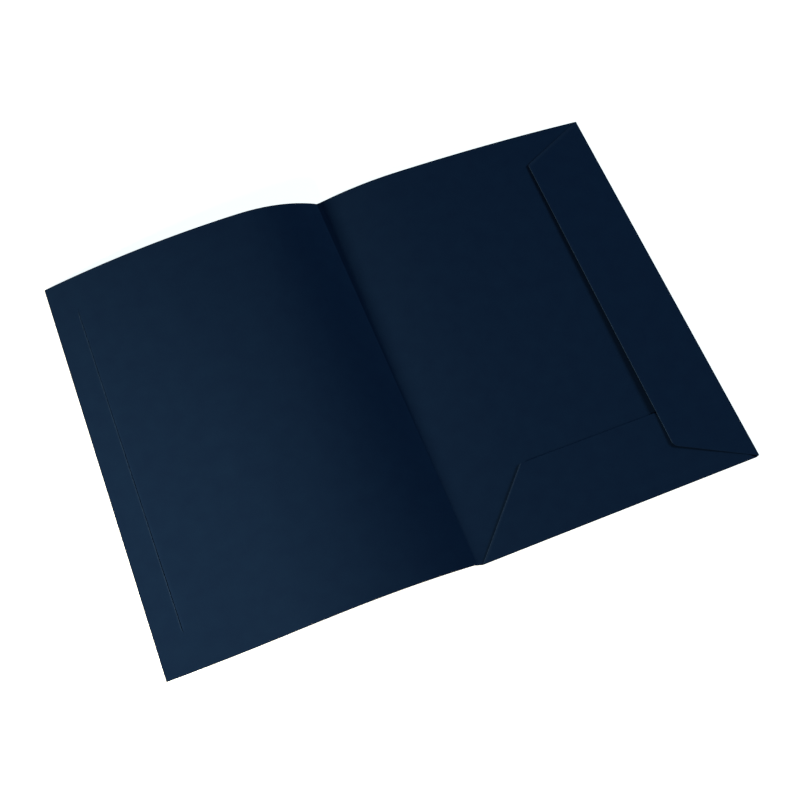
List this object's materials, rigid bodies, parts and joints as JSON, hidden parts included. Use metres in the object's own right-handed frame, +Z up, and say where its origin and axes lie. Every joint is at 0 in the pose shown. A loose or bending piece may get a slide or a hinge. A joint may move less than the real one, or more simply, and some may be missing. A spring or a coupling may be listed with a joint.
{
  "type": "document folder",
  "caption": "Open document folder of creased card: a front cover with a tuck slit, a narrow spine, and a back cover whose side and bottom flaps fold in to hold loose papers.",
  "frame": {"origin": "middle of the spine's underside, on the table that the open folder lies on", "axes": "+X from the front cover to the back cover, +Y up the page along the spine, +Z up from the table"},
  "size_m": [0.4438, 0.31, 0.0214],
  "materials": {
    "card": "matt through-dyed card, dark navy"
  },
  "bodies": {
    "back_cover": {"back_cover": "card", "bottom_fold": "card", "side_fold": "card"},
    "spine": {"spine": "card", "front_crease": "card", "back_crease": "card"},
    "front_cover": {"front_cover": "card"},
    "side_flap": {"side_flap": "card"},
    "bottom_flap": {"bottom_flap": "card"}
  },
  "joints": [
    {"name": "spine_fold", "type": "hinge", "parent": "back_cover", "child": "spine", "pos_m": [0.003, 0, 0.00022], "axis": [0, 1, 0], "range_deg": [0, 72]},
    {"name": "cover_fold", "type": "hinge", "parent": "spine", "child": "front_cover", "pos_m": [-0.003, 0, 0.00022], "axis": [0, 1, 0], "range_deg": [0, 72]},
    {"name": "side_flap_fold", "type": "hinge", "parent": "back_cover", "child": "side_flap", "pos_m": [0.2221, 0, 0.0009], "axis": [0, 1, 0], "range_deg": [0, 174]},
    {"name": "bottom_flap_fold", "type": "hinge", "parent": "back_cover", "child": "bottom_flap", "pos_m": [0.1, -0.15435, 0.00065], "axis": [1, 0, 0], "range_deg": [0, 174]}
  ],
  "couplings": [
    {"joint": "cover_fold", "follows": "spine_fold", "ratio": 1},
    {"joint": "bottom_flap_fold", "follows": "side_flap_fold", "ratio": 1}
  ]
}
